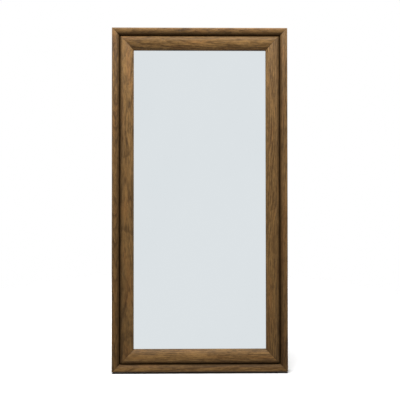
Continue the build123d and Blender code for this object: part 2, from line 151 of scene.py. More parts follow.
oakGrain = {
    "repeats": {  # of each pattern in a metre: twice across the grain, then along it
        "wander": (11, 11, 2.4),
        "broad": (13, 13, 1.7),
        "mottle": (55, 55, 9),
        "fleck": (150, 150, 34),
        "streak": (210, 210, 6),
        "fibre": (900, 900, 15),
        "reddish": (24, 24, 4.2),
        "pore": (1400, 1400, 90),
        "check": (330, 330, 24),
        "checkPatch": (38, 38, 9),
        "knot": (15, 15, 5),
    },
    "drift": (0.03, 0.03, 0.0),  # how far the figure wanders
    "tone": 0.61,  # from the dark colour to the light one, before the late wood
    "swings": {"broad": 1.5, "mottle": 1.2, "fleck": 1.9, "streak": 1.3, "fibre": 0.5},
    "lateShade": 0.46,
    "reddish": (0.36, (1.12, 0.90, 0.78, 1)),  # strength and colour, as in the next three
    "pores": (0.75, (0.030, 0.017, 0.008, 1)),
    "checks": (0.75, (0.034, 0.018, 0.007, 1)),
    "knots": (0.78, (0.035, 0.018, 0.008, 1)),
    "roughness": 0.46,
}


def makeOakFigure(grain):  # rings, streaks, flecks, pores, fine checks and knots; z runs along the grain
    group, given, gives = newGroup(
        "oakFigure",
        [
            ("Place", "Vector", None),
            ("Heart", "Vector", None),
            ("Light", "Color", (0.4, 0.25, 0.12, 1)),
            ("Dark", "Color", (0.16, 0.09, 0.04, 1)),
            ("Ring Width", "Float", 0.006),
            ("Slant", "Float", 0.03),
        ],
        [("Colour", "Color"), ("Roughness", "Float"), ("Height", "Float")],
    )
    place, repeats = given.outputs["Place"], grain["repeats"]
    wander = addNode(group, "TexNoise", noise_dimensions="3D")
    feed(group, wander, Vector=vectorSums(group, "MULTIPLY", place, repeats["wander"]), Scale=1.0, Detail=2.0)
    drifted = vectorSums(group, "MULTIPLY_ADD", wander.outputs["Color"], grain["drift"], place)
    fromHeart = addNode(group, "SeparateXYZ")
    feed(group, fromHeart, Vector=vectorSums(group, "SUBTRACT", drifted, given.outputs["Heart"]))
    sideways, inwards, along = fromHeart.outputs
    inwards = sums(group, "MULTIPLY_ADD", along, given.outputs["Slant"], inwards)
    squares = sums(group, "MULTIPLY_ADD", sideways, sideways, sums(group, "MULTIPLY", inwards, inwards))
    turns = sums(group, "DIVIDE", sums(group, "SQRT", squares), given.outputs["Ring Width"])
    turns = sums(group, "FRACT", turns)
    late = sums(group, "MULTIPLY", remap(group, turns, 0.4, 0.9), remap(group, turns, 1.0, 0.93))
    early = remap(group, turns, 0.5, 0.02)
    patterns = {
        "broad": cloud(group, place, repeats["broad"], 3.0, 0.55),
        "mottle": cloud(group, place, repeats["mottle"], 3.0, 0.6, 0.6),
        "fleck": cloud(group, drifted, repeats["fleck"], 3.0, 0.65, 0.5),
        "streak": cloud(group, drifted, repeats["streak"], 2.0, 0.6),
        "fibre": cloud(group, place, repeats["fibre"], 3.0, 0.6),
    }
    tone = grain["tone"]
    for name, swing in grain["swings"].items():
        tone = sums(group, "ADD", tone, sums(group, "MULTIPLY_ADD", patterns[name], swing, -swing / 2))
    tone = sums(group, "MULTIPLY_ADD", late, -grain["lateShade"], tone, clamp=True)
    colour = blendColours(group, tone, given.outputs["Dark"], given.outputs["Light"])

    strength, shade = grain["reddish"]
    reddish = remap(group, cloud(group, place, repeats["reddish"]), 0.50, 0.68, 0.0, strength)
    colour = blendColours(group, reddish, colour, shade, "MULTIPLY")
    poreDots = remap(group, cloud(group, place, repeats["pore"], 1.0, 0.4), 0.60, 0.70)
    pores = sums(group, "MULTIPLY", poreDots, sums(group, "MULTIPLY_ADD", early, 0.75, 0.25))
    checkLines = remap(group, cloud(group, drifted, repeats["check"]), 0.60, 0.68)
    checkPatch = remap(group, cloud(group, place, repeats["checkPatch"]), 0.46, 0.60)
    checks = sums(group, "MULTIPLY", checkLines, checkPatch)
    knotCells = addNode(group, "TexVoronoi", feature="F1")
    feed(group, knotCells, Vector=vectorSums(group, "MULTIPLY", drifted, repeats["knot"]), Scale=1.0)
    cellDraw = addNode(group, "SeparateColor")
    feed(group, cellDraw, Color=knotCells.outputs["Color"])
    knotShape = remap(group, knotCells.outputs["Distance"], 0.20, 0.05)
    knots = sums(group, "MULTIPLY", knotShape, remap(group, cellDraw.outputs["Red"], 0.78, 0.82))
    for name, mark in (("pores", pores), ("checks", checks), ("knots", knots)):
        strength, shade = grain[name]
        colour = blendColours(group, sums(group, "MULTIPLY", mark, strength), colour, shade)

    rough = sums(group, "MULTIPLY_ADD", pores, 0.25, grain["roughness"])
    rough = sums(group, "ADD", rough, sums(group, "MULTIPLY_ADD", patterns["mottle"], 0.22, -0.11))
    height = sums(group, "MULTIPLY_ADD", patterns["fibre"], 0.35, sums(group, "MULTIPLY", pores, -1.0))
    height = sums(group, "MULTIPLY_ADD", early, -0.25, sums(group, "MULTIPLY_ADD", checks, -1.5, height))
    feed(group, gives, Colour=colour, Roughness=rough, Height=height)
    return group


handlingMarks = {  # repeats in a metre
    "smear": (45, 45, 45),
    "speck": (900, 900, 900),
    "scratch": (2200, 180, 60),
}


def makeHandling(repeats):  # smears, specks and fine scratches for the plain materials
    group, given, gives = newGroup(
        "handling",
        [
            ("Place", "Vector", None),
            ("Colour", "Color", (0.5, 0.5, 0.5, 1)),
            ("Grime", "Color", (0.1, 0.09, 0.08, 1)),
            ("Grime Amount", "Float", 0.3),
            ("Roughness", "Float", 0.4),
            ("Spread", "Float", 0.15),
        ],
        [("Colour", "Color"), ("Roughness", "Float"), ("Height", "Float")],
    )
    place = given.outputs["Place"]
    smear = cloud(group, place, repeats["smear"], 4.0, 0.6, 0.2)
    speck = remap(group, cloud(group, place, repeats["speck"]), 0.58, 0.72)
    scratch = remap(group, cloud(group, place, repeats["scratch"]), 0.56, 0.70)
    dirt = sums(group, "MULTIPLY_ADD", speck, 0.35, remap(group, smear, 0.45, 0.75))
    dirt = sums(group, "MULTIPLY", dirt, given.outputs["Grime Amount"], clamp=True)
    colour = blendColours(group, dirt, given.outputs["Colour"], given.outputs["Grime"])
    uneven = sums(group, "MULTIPLY", sums(group, "SUBTRACT", smear, 0.5), given.outputs["Spread"])
    rough = sums(group, "ADD", given.outputs["Roughness"], uneven)
    rough = sums(group, "MULTIPLY_ADD", speck, 0.12, rough, clamp=True)
    height = sums(group, "MULTIPLY_ADD", smear, 0.4, sums(group, "MULTIPLY", scratch, -0.3))
    feed(group, gives, Colour=colour, Roughness=rough, Height=height)
    return group


oakFigure = makeOakFigure(oakGrain)
handling = makeHandling(handlingMarks)

# materials


def newMaterial(name):
    material = bpy.data.materials.new(name)
    material.use_nodes = True
    return material, material.node_tree, material.node_tree.nodes["Principled BSDF"]


def turnedPlace(tree, axes, offset=(0.0, 0.0, 0.0)):  # object coordinates along three directions
    coordinates = addNode(tree, "TexCoord")
    turned = addNode(tree, "Mapping", vector_type="POINT")
    put(tree, turned.inputs["Rotation"], Matrix(axes).to_euler("XYZ"))
    put(tree, turned.inputs["Location"], offset)
    put(tree, turned.inputs["Vector"], coordinates.outputs["Object"])
    return turned.outputs[0]


uprightGrain = (acrossDir, -frontDir, upDir)
levelGrain = (upDir, frontDir, acrossDir)
strutGrain = (acrossDir, strutDir.cross(acrossDir), strutDir)

oakFinish = {
    "light": (0.275, 0.151, 0.0505, 1),
    "dark": (0.086, 0.044, 0.0135, 1),
    "waxAndShade": (0.037, 0.0180, 0.0038, 1),  # dark wax settled in the quirk, and painted shade in the recesses and at the sight edge
    "wornAndHighlight": (0.36, 0.225, 0.105, 1),  # rubbed edges and crowns, with a painted highlight on the crowns and sight edges
    "waxAndShadeAmount": 0.92,
    "wearAndHighlightAmount": 0.30,
    "wearRepeats": (70, 70, 14),  # in a metre
    "heartAside": 0.03,  # where in its length each piece has the middle of its rings
    "heartDepth": (0.03, 0.06),
    "ringWidth": (0.005, 0.009),
    "ringSlant": (0.025, 0.05),
    "gloss": 0.20,
    "relief": 0.00035,
}
strutFinish = dict(oakFinish, light=(0.25, 0.148, 0.070, 1), dark=(0.115, 0.066, 0.030, 1))


def makeOak(name, axes, middle, seed, tint=1.0, finish=oakFinish):
    draw = random.Random(seed)
    offset = Vector((draw.uniform(-4, 4), draw.uniform(-4, 4), draw.uniform(-4, 4)))
    aside, depth = finish["heartAside"], finish["heartDepth"]
    heart = Matrix(axes) @ middle + offset + Vector((draw.uniform(-aside, aside), draw.uniform(*depth), 0))
    material, tree, surface = newMaterial(name)
    place = turnedPlace(tree, axes, offset)
    figure = addNode(tree, "Group", node_tree=oakFigure)
    light, dark = ([part * tint for part in finish[shade][:3]] + [1] for shade in ("light", "dark"))
    feed(tree, figure, Place=place, Heart=heart, Light=light, Dark=dark)
    feed(tree, figure, Ring_Width=draw.uniform(*finish["ringWidth"]))
    feed(tree, figure, Slant=draw.choice((-1, 1)) * draw.uniform(*finish["ringSlant"]))
    wearAndHighlight = addNode(tree, "Attribute", attribute_name="wearAndHighlight").outputs["Fac"]
    waxAndShade = addNode(tree, "Attribute", attribute_name="waxAndShade").outputs["Fac"]
    patchy = remap(tree, cloud(tree, place, finish["wearRepeats"], 3.0), 0.35, 0.65)
    # lighter where worn, and a painted highlight on the crowns and sight edges
    wornAndHighlight = sums(tree, "MULTIPLY", sums(tree, "MULTIPLY", wearAndHighlight, patchy), finish["wearAndHighlightAmount"])
    colour = blendColours(tree, wornAndHighlight, figure.outputs["Colour"], finish["wornAndHighlight"])
    # darker with wax in the quirk and at the mitres, and painted shade down the recess sides and at the sight
    # edge
    colour = blendColours(tree, sums(tree, "MULTIPLY", waxAndShade, finish["waxAndShadeAmount"]), colour, finish["waxAndShade"])
    rough = sums(tree, "MULTIPLY_ADD", waxAndShade, 0.22, figure.outputs["Roughness"])
    bump = feed(tree, addNode(tree, "Bump"), Height=figure.outputs["Height"], Distance=finish["relief"])
    feed(tree, surface, Base_Color=colour, Roughness=rough, Normal=bump.outputs[0])
    put(tree, surface.inputs["Specular IOR Level"], finish["gloss"])
    return material


plainFinish = {"metallic": 1.0, "grimeAmount": 0.3, "spread": 0.2, "relief": 0.0001, "gloss": 0.5}


def makePlain(name, colour, grime, roughness, **changes):
    finish = dict(plainFinish, **changes)
    material, tree, surface = newMaterial(name)
    marked = addNode(tree, "Group", node_tree=handling)
    feed(tree, marked, Place=turnedPlace(tree, uprightGrain), Colour=colour, Grime=grime, Roughness=roughness)
    feed(tree, marked, Spread=finish["spread"], Grime_Amount=finish["grimeAmount"])
    bump = feed(tree, addNode(tree, "Bump"), Height=marked.outputs["Height"], Strength=0.6)
    feed(tree, bump, Distance=finish["relief"])
    feed(tree, surface, Base_Color=marked.outputs["Colour"], Roughness=marked.outputs["Roughness"])
    feed(tree, surface, Normal=bump.outputs[0], Metallic=finish["metallic"])
    put(tree, surface.inputs["Specular IOR Level"], finish["gloss"])
    return material


silvering = {
    "clear": (0.900, 0.954, 0.984, 1),
    "hazy": (0.890, 0.945, 0.976, 1),
    "hazeRepeats": (3, 3, 2),  # in a metre
    "roughness": (0.012, 0.03),
}


def makeSilvering(finish):  # a bright, very slightly blue reflection of the room
    material, tree, surface = newMaterial("silveredGlass")
    haze = remap(tree, cloud(tree, turnedPlace(tree, uprightGrain), finish["hazeRepeats"], 3.0), 0.4, 0.75)
    colour = blendColours(tree, haze, finish["clear"], finish["hazy"])
    rough = remap(tree, haze, 0.0, 1.0, *finish["roughness"])
    feed(tree, surface, Base_Color=colour, Metallic=1.0, Roughness=rough)
    return material


# each has its colour, the colour of its grime and its roughness, then what differs from plainFinish
hardboard = makePlain(
    "hardboard", (0.155, 0.088, 0.042, 1), (0.105, 0.060, 0.030, 1), 0.62,
    metallic=0.0, grimeAmount=0.6, relief=0.0002,
)
zincPlate = makePlain(
    "zincPlate", (0.40, 0.39, 0.365, 1), (0.16, 0.145, 0.12, 1), 0.44, grimeAmount=0.45, spread=0.25
)
zincScrew = makePlain(
    "zincScrew", (0.48, 0.44, 0.34, 1), (0.16, 0.13, 0.09, 1), 0.34, grimeAmount=0.45, spread=0.25
)
nickel = makePlain("nickel", (0.46, 0.44, 0.405, 1), (0.20, 0.18, 0.155, 1), 0.32)
brass = makePlain(
    "agedBrass", (0.46, 0.32, 0.13, 1), (0.13, 0.085, 0.035, 1), 0.33, grimeAmount=0.55, spread=0.3
)
rubber = makePlain(
    "blackRubber", (0.022, 0.022, 0.023, 1), (0.09, 0.085, 0.08, 1), 0.72,
    metallic=0.0, relief=0.0002, gloss=0.3,
)
felt = makePlain(
    "darkFelt", (0.035, 0.031, 0.027, 1), (0.06, 0.055, 0.05, 1), 0.95,
    metallic=0.0, grimeAmount=0.6, spread=0.05, relief=0.0006, gloss=0.1,
)
foam = makePlain(
    "paleFoam", (0.66, 0.66, 0.64, 1), (0.5, 0.5, 0.48, 1), 0.8,
    metallic=0.0, spread=0.1, relief=0.0004, gloss=0.2,
)
silveredGlass = makeSilvering(silvering)
print("materials made")

# pieces from meshes


def newPiece(name, mesh, material, body, replaced):
    mesh.materials.clear()
    mesh.materials.append(material)
    piece = bpy.data.objects.new(name, mesh)
    bpy.context.scene.collection.objects.link(piece)
    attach(piece, body)
    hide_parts(*replaced)
    return piece


def shadeBy(mesh, degrees):  # smooth, with edges sharper than the angle left crisp
    for face in mesh.polygons:
        face.use_smooth = True
    mesh.set_sharp_from_angle(angle=math.radians(degrees))


# lengths of wood, swept between two planes

handWork = {
    "wave": 0.00022,  # of a surface planed and rubbed by hand
    "waveRepeats": (9, 34),  # in a metre, broad and fine
    "waveFade": 0.012,  # over this distance from an end
    "dents": 9,  # to a metre
    "dentDepth": (0.0002, 0.0007),
    "dentRadius": (0.002, 0.006),
    "mitreEase": 0.00045,
    "easeReach": 0.0014,
    "waxReach": 0.0025,  # of the wax that gathers at a mitre
    "streakRepeats": (22, 75),  # of the wax and the wear
    "ringStep": 0.006,
    "endRings": (0.0007, 0.002),
}


def sweepWood(name, profile, base, xDir, yDir, ends, material, body, replaced, seed, work=handWork):
    # profile: closed list of (x, y, shown, wax with painted shade, wear with painted highlight); ends: a
    # point and a normal for each end plane
    alongDir = xDir.cross(yDir).normalized()
    draw = random.Random(seed)
    count = len(profile)
    area = sum(a[0] * b[1] - b[0] * a[1] for a, b in zip(profile, profile[1:] + profile[:1]))
    turn = 1.0 if area > 0 else -1.0
    lines = []
    for index, (x, y, shown, waxAndShade, wearAndHighlight) in enumerate(profile):
        foot = base + xDir * x + yDir * y
        reach = [(point - foot).dot(normal) / alongDir.dot(normal) for point, normal in ends]
        before, after = profile[index - 1], profile[(index + 1) % count]
        tangent = Vector((after[0] - before[0], after[1] - before[1])).normalized()
        outwards = (xDir * tangent.y - yDir * tangent.x) * turn
        lines.append((foot, min(reach), max(reach), outwards, shown, waxAndShade, wearAndHighlight))
    length = max(line[2] for line in lines) - min(line[1] for line in lines)
    steps = max(2, round(length / work["ringStep"]))
    edge = [0.0] + [distance / length for distance in work["endRings"]]
    shares = edge + [step / steps for step in range(1, steps)] + [1 - share for share in reversed(edge)]
    shownLines = [line for line in lines if line[4] > 0.6] or lines
    dents = []
    for _ in range(round(work["dents"] * length)):
        line = draw.choice(shownLines)
        middle = line[0] + alongDir * (line[1] + (line[2] - line[1]) * draw.uniform(0.02, 0.98))
        dents.append((middle, draw.uniform(*work["dentRadius"]), draw.uniform(*work["dentDepth"])))
    points, waxAndShades, wearAndHighlights = [], [], []
    shift = Vector((seed * 3.7, seed * 1.3, seed * 2.9))
    (broadWave, fineWave), (broadStreak, fineStreak) = work["waveRepeats"], work["streakRepeats"]
    for share in shares:
        fromEnd = min(share, 1 - share) * length
        taper = min(1.0, fromEnd / work["waveFade"])
        ringMiddle = lines[0][0] + alongDir * (lines[0][1] + (lines[0][2] - lines[0][1]) * share)
        nearDents = [dent for dent in dents if abs((dent[0] - ringMiddle).dot(alongDir)) < 0.15]
        for foot, low, high, outwards, shown, waxAndShade, wearAndHighlight in lines:
            point = foot + alongDir * (low + (high - low) * share)
            offset = 0.0
            if shown > 0:
                wave = noise.noise(point * broadWave + shift) + 0.5 * noise.noise(point * fineWave + shift)
                offset += work["wave"] * wave * taper
                for middle, radius, depth in nearDents:
                    away = (point - middle).length_squared
                    if away < radius * radius * 4:
                        offset -= depth * math.exp(-2.2 * away / (radius * radius)) * taper
                offset -= work["mitreEase"] * max(0.0, 1 - fromEnd / work["easeReach"])
            points.append(point + outwards * offset * shown)
            streak = noise.noise(point * broadStreak + shift) * 0.5
            streak += noise.noise(point * fineStreak + shift) * 0.35
            mitreWax = 0.5 * max(0.0, 1 - fromEnd / work["waxReach"]) * shown
            waxAndShades.append(min(1.0, max(0.0, waxAndShade * (1 + 0.35 * streak)) + mitreWax))
            wearAndHighlights.append(min(1.0, max(0.0, wearAndHighlight * (1 + 0.9 * streak))))
    faces = []
    for ring in range(len(shares) - 1):
        for index in range(count):
            a, b = ring * count + index, ring * count + (index + 1) % count
            faces.append((a, b, b + count, a + count))
    faces.append(tuple(reversed(range(count))))
    faces.append(tuple(range((len(shares) - 1) * count, len(shares) * count)))
    mesh = bpy.data.meshes.new(name)
    mesh.from_pydata(points, [], faces)
    mesh.attributes.new("waxAndShade", "FLOAT", "POINT").data.foreach_set("value", waxAndShades)
    mesh.attributes.new("wearAndHighlight", "FLOAT", "POINT").data.foreach_set("value", wearAndHighlights)
    if turn < 0:
        mesh.flip_normals()
    shadeBy(mesh, 32)
    return newPiece(name, mesh, material, body, replaced)


def straight(start, stop, step):  # points from start up to, but not including, stop
    count = max(1, round(math.dist(start, stop) / step))
    return [tuple(a + (b - a) * k / count for a, b in zip(start, stop)) for k in range(count)]


def arc(centre, radii, start, stop, count):  # the same along an ellipse, from one angle to another
    angles = [math.radians(start + (stop - start) * k / count) for k in range(count)]
    return [(centre[0] + radii[0] * math.cos(a), centre[1] + radii[1] * math.sin(a)) for a in angles]


mouldingShape = {  # millimetres, in from the frame's outer edge and out from its back
    "outerSide": 50,
    "outerRound": 8,
    "outerCover": 38,
    "outerShelf": 34,
    "ledge": (72, 22),
    "quirk": (41, 26),
    "crown": (57, 50),
    "flank": 36,
    "sight": (109, 28.5),
    "cover": 111,
    "rebate": (99, 21),
}
mouldingMarksAndPaintedLight = {  # shares of the most that the oak's finish allows: wax with painted shade down into the recesses and at the sight edge, and wear with painted highlights on the crown and sight edge
    "outerWaxAndShade": 0.80,
    "innerWaxAndShade": 0.9,
    "sightWaxAndShade": 0.25,
    "outerWear": 1.0,
    "crownWearAndHighlight": 0.9,
    "sightWearAndHighlight": 0.9,
}


def outerProfile(shape, marks):
    side, turn, cover, shelf = (shape[key] for key in ("outerSide", "outerRound", "outerCover", "outerShelf"))
    crown = side + turn
    ledgeX, ledgeY = shape["ledge"]
    shown = (
        straight((0, 1.5), (0, side), 7)
        + arc((turn, side), (turn, turn), 180, 90, 7)
        + arc((turn, shelf), (cover - turn, crown - shelf), 90, 0, 26)
        + straight((cover, shelf), (cover, ledgeY + 3), 2.5)
    )
    profile = []
    for x, y in shown:
        fall = max(0.0, (x - 6) / (cover - 6))  # over the cushion, down into the quirk, where wax and painted shade grow darker
        waxAndShade = max(marks["outerWaxAndShade"] * fall ** 2.1, max(0.0, 1 - (cover - x) / 8) ** 2)
        wearAndHighlight = marks["outerWear"] * math.exp(-(((x - 3) / 6) ** 2)) if y > side - turn else 0.15
        profile.append((x, y, 1.0 if y > 4 else 0.4, waxAndShade, wearAndHighlight))
    hidden = [(cover, ledgeY), (ledgeX, ledgeY), (ledgeX, 0), (1.5, 0)]
    return profile + [(x, y, 0.0, 0.6 if y else 0.1, 0.0) for x, y in hidden]


def innerProfile(shape, marks):
    quirkX, quirkY = shape["quirk"]
    crownX, crownY = shape["crown"]
    flank, cover = shape["flank"], shape["cover"]
    sightX, sightY = shape["sight"]
    run, drop = sightX - crownX, crownY - sightY
    radius = (run * run + drop * drop) / (2 * drop)  # of the arc that leaves the crown level
    sweep = math.degrees(math.asin(run / radius))
    lipRun, lipRise = cover - sightX, 2 * (cover - sightX)
    lip = (lipRun * lipRun + lipRise * lipRise) / (2 * lipRun)
    lipSweep = math.degrees(math.asin(lipRise / lip))
    shown = (
        straight((shape["outerCover"], quirkY), (quirkX, quirkY), 1)
        + straight((quirkX, quirkY), (quirkX, flank), 2)
        + arc((crownX, flank), (crownX - quirkX, crownY - flank), 180, 90, 18)
        + arc((crownX, crownY - radius), (radius, radius), 90, 90 - sweep, 22)
        + arc((cover - lip, sightY - lipRise), (lip, lip), lipSweep, 0, 6)
        + [(cover, sightY - lipRise)]
    )
    profile = []
    for x, y in shown:
        rise = max(0.0, min(1.0, (x - quirkX) / 36))  # up the flank and over the crown
        # dark wax in the quirk, and painted shade up the flank and by the sight edge
        quirkWaxAndShade = max(marks["innerWaxAndShade"] * (1 - rise) ** 1.8, 1 - (x - quirkX) / 4)
        waxAndShade = max(quirkWaxAndShade, marks["sightWaxAndShade"] * (x - sightX + 6) / 8)
        # wear on the crown and sight edge, placed and sized as a painted highlight
        wearAndHighlight = marks["crownWearAndHighlight"] * math.exp(-(((x - crownX - 2) / 6) ** 2))
        wearAndHighlight += marks["sightWearAndHighlight"] * math.exp(-(((x - sightX) / 2.2) ** 2))
        profile.append((x, y, 1.0 if y > quirkY + 1 else 0.3, waxAndShade, min(1.0, wearAndHighlight)))
    rebateX, rebateY = shape["rebate"]
    ledgeX, ledgeY = shape["ledge"]
    hidden = [(cover, rebateY), (rebateX, rebateY), (rebateX, 0), (ledgeX, 0), (ledgeX, ledgeY)]
    hidden.append((shape["outerCover"], ledgeY))
    return profile + [(x, y, 0.0, 0.5 if y else 0.1, 0.0) for x, y in hidden]


def inMetres(profile):
    return [(x * 0.001, y * 0.001, *rest) for x, y, *rest in profile]


outerSection = inMetres(outerProfile(mouldingShape, mouldingMarksAndPaintedLight))
innerSection = inMetres(innerProfile(mouldingShape, mouldingMarksAndPaintedLight))
pieceToneAndPaintedLight = {  # each length's colour scaled: its own tone, and painted light and shade, the bottom lengths painted lighter and the top outer length darker
    "outer": {"bottom": 1.5, "top": 0.77, "left": 0.98, "right": 0.87},
    "inner": {"bottom": 1.40, "top": 1.06, "left": 1.04, "right": 1.06},
}

for number, side in enumerate(sides):
    edgeMiddle, inwards = {
        "bottom": (onFrame(0, 0), upDir),
        "top": (onFrame(0, frameHeight), -upDir),
        "left": (onFrame(-halfWidth, frameHeight / 2), acrossDir),
        "right": (onFrame(halfWidth, frameHeight / 2), -acrossDir),
    }[side]
    sweepDir = inwards.cross(frontDir)
    half = halfWidth if side in ("bottom", "top") else frameHeight / 2
    ends = [(edgeMiddle + sweepDir * half * way, sweepDir * way + inwards) for way in (-1, 1)]
    grain = levelGrain if side in ("bottom", "top") else uprightGrain
    for ply, section, inset in (("outer", outerSection, 0.02), ("inner", innerSection, 0.075)):
        seed = 2 * number + (ply == "inner") + 11
        label = ply + side.capitalize()
        # the tint paints light and shade onto each length, besides its own tone
        oak = makeOak(label + "Oak", grain, edgeMiddle + inwards * inset, seed, pieceToneAndPaintedLight[ply][side])
        sweepWood(
            label + "Moulding", section, edgeMiddle, inwards, frontDir, ends, oak, "frame",
            [f"{ply}_{side}_moulding"], seed,
        )
print("mouldings made")

# batten, legs and rails: each section is the CAD piece's own, with its arrises eased

plankWork = dict(handWork, wave=0.0003, dents=5, mitreEase=0.0, ringStep=0.012)
arrisRadius = 0.0022


def sectionOf(nodeName, xDir, yDir, keep):  # the outline of a node looked at along its length
    kept = [v.co for v in nodes[nodeName].data.vertices if keep(v.co)]
    points = {(round(co.dot(xDir), 6), round(co.dot(yDir), 6)) for co in kept}
    flat = [Vector(point) for point in sorted(points)]
    return [flat[index] for index in geometry.convex_hull_2d(flat)]


def easedOutline(outline, radius, steps=3):  # rounds each corner, and adds points along the flats
    profile = []
    count = len(outline)
    for index, corner in enumerate(outline):
        before, after = outline[index - 1], outline[(index + 1) % count]
        reach = min(radius, 0.4 * (before - corner).length, 0.4 * (after - corner).length)
        first = corner + (before - corner).normalized() * reach
        last = corner + (after - corner).normalized() * reach
        for step in range(steps + 1):
            share = step / steps
            point = first.lerp(corner, share).lerp(corner.lerp(last, share), share)
            profile.append((point.x, point.y, 0.6, 0.0, 0.9))
        flat = after - corner
        for share in (0.25, 0.5, 0.75):
            if flat.length > 6 * radius:
                point = corner + flat * share
                profile.append((point.x, point.y, 1.0, 0.0, 0.1))
    return profile


def extreme(nodeName, direction):  # the node's furthest point in a direction
    return max((v.co for v in nodes[nodeName].data.vertices), key=lambda co: co.dot(direction)).copy()


def plank(name, nodeName, xDir, yDir, ends, grain, body, seed, keep=lambda co: True):
    outline = sectionOf(nodeName, xDir, yDir, keep)
    low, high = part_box(nodeName)
    oak = makeOak(name + "Oak", grain, (low + high) / 2, seed, 1.0, strutFinish)
    sweepWood(
        name, easedOutline(outline, arrisRadius), Vector(), xDir, yDir, ends, oak, body, [nodeName],
        seed, plankWork,
    )


acrossEnds = [(extreme("hinge_batten", acrossDir * way), acrossDir) for way in (-1, 1)]
plank("hingeBatten", "hinge_batten", upDir, frontDir, acrossEnds, levelGrain, "frame", 31)
for number, side in enumerate(("left", "right")):
    leg = f"strut_leg_{side}"
    legEnds = [(extreme(leg, -floorUp), floorUp), (extreme(leg, upDir), upDir)]
    name = f"strutLeg{side.capitalize()}"
    plank(name, leg, acrossDir, -strutFront, legEnds, strutGrain, "strut", 41 + number)
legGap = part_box("strut_leg_right")[0].x
railGrain = (strutDir, strutFront, acrossDir)
for number, rail in enumerate(("top", "low")):
    railEnds = [(acrossDir * legGap * way, acrossDir) for way in (-1, 1)]
    name = f"strut{rail.capitalize()}Rail"
    plank(
        name, f"strut_{rail}_rail", strutDir, strutFront, railEnds, railGrain, "strut", 51 + number,
        lambda co: abs(co.x) < legGap * 1.001,  # without the tenons
    )
print("batten and strut made")

# screws: heads with a cross recess, on the axes of the CAD screws

screwShape = {
    "headRadius": 0.0033,
    "shankRadius": 0.00165,
    "shankLength": 0.010,
    "pointLength": 0.013,
    "pointShare": 0.12,  # of the head's radius
    "countersink": 0.00155,
    "proud": 0.00045,  # of a countersunk head's middle
    "panHeight": 0.002,
    "recessArm": 0.46,  # shares of the head's radius
    "recessWidth": 0.15,
    "recessDepth": 0.0011,
}


def looseParts(nodeName):  # the corners of each separate solid in a node
    solid = bmesh.new()
    solid.from_mesh(nodes[nodeName].data)
    bmesh.ops.remove_doubles(solid, verts=solid.verts, dist=1e-6)
    left, parts = set(solid.verts), []
    while left:
        stack, part = [left.pop()], []
        while stack:
            vertex = stack.pop()
            part.append(vertex.co.copy())
            for edge in vertex.link_edges:
                other = edge.other_vert(vertex)
                if other in left:
                    left.remove(other)
                    stack.append(other)
        parts.append(part)
    solid.free()
    return sorted(parts, key=lambda part: tuple(round(value, 4) for value in sum(part, Vector()) / len(part)))


def addScrew(built, origin, outDir, sideDir, pan, turn, shape):  # origin: where the axis meets the surface
    xDir = (sideDir * math.cos(turn) + outDir.cross(sideDir) * math.sin(turn)).normalized()
    yDir = outDir.cross(xDir)
    radius, arm, width = shape["headRadius"], shape["recessArm"], shape["recessWidth"]
    half = [width * 0.6, width, arm * 0.88, arm, 0.62, 0.76, 0.88, 1.0]
    lines = [-value for value in reversed(half)] + half
    grid = []
    for u in lines:
        row = []
        for v in lines:
            x, y = u * math.sqrt(1 - v * v / 2), v * math.sqrt(1 - u * u / 2)
            far = min(1.0, x * x + y * y)
            if pan:
                height = shape["panHeight"] * (1 - far ** 2 * 0.55)
            else:
                height = shape["proud"] * (1 - far * 0.85)
            narrow, wide = sorted((abs(u), abs(v)))
            if narrow <= width * 0.61 and wide <= arm * 0.89:
                height -= shape["recessDepth"]
            row.append(built.verts.new(origin + xDir * x * radius + yDir * y * radius + outDir * height))
        grid.append(row)
    last = len(lines) - 1
    for i in range(last):
        for j in range(last):
            built.faces.new((grid[i][j], grid[i + 1][j], grid[i + 1][j + 1], grid[i][j + 1]))
    rim = (
        [grid[i][0] for i in range(last)]
        + [grid[last][j] for j in range(last)]
        + [grid[i][last] for i in range(last, 0, -1)]
        + [grid[0][j] for j in range(last, 0, -1)]
    )
    shank, neck = shape["shankRadius"] / radius, 0 if pan else shape["countersink"]
    point = (shape["pointShare"], shape["pointLength"])
    ring = rim
    for size, depth in ((1, 0), (shank, neck), (shank, shape["shankLength"]), point):
        lower = []
        for vertex in rim:
            flat = vertex.co - origin
            flat -= outDir * flat.dot(outDir)
            lower.append(built.verts.new(origin + flat.normalized() * radius * size - outDir * depth))
        for k in range(len(ring)):
            other = (k + 1) % len(ring)
            built.faces.new((ring[k], lower[k], lower[other], ring[other]))
        ring = lower
    built.faces.new(ring)


def makeScrews(name, nodeName, outDir, body, pan, shape=screwShape):
    draw = random.Random(nodeName)
    built = bmesh.new()
    for part in looseParts(nodeName):
        origin = outDir * (max(v.dot(outDir) for v in part) - (shape["panHeight"] if pan else 0))
        for direction in (acrossDir, upDir):
            reach = [v.dot(direction) for v in part]
            origin += direction * (min(reach) + max(reach)) / 2
        addScrew(built, origin, outDir, acrossDir, pan, draw.uniform(0, math.pi), shape)
    bmesh.ops.recalc_face_normals(built, faces=built.faces)
    mesh = bpy.data.meshes.new(name)
    built.to_mesh(mesh)
    built.free()
    shadeBy(mesh, 38)
    return newPiece(name, mesh, zincScrew, body, [nodeName])


for name, nodeName, pan in (
    ("mouldingScrews", "moulding_screws", False),
    ("cornerScrews", "corner_screws", False),
    ("battenScrews", "batten_screws", False),
    ("clipScrews", "clip_screws", True),
    ("strapScrews", "strap_screws", True),
):
    made = makeScrews(name, nodeName, -frontDir, "frame", pan)
    print(name, len(made.data.polygons))

# small parts: the CAD shapes with their edges eased

easedEdge = {"plate": 0.0004, "clip": 0.00035, "strap": 0.0003, "rubber": 0.0008}


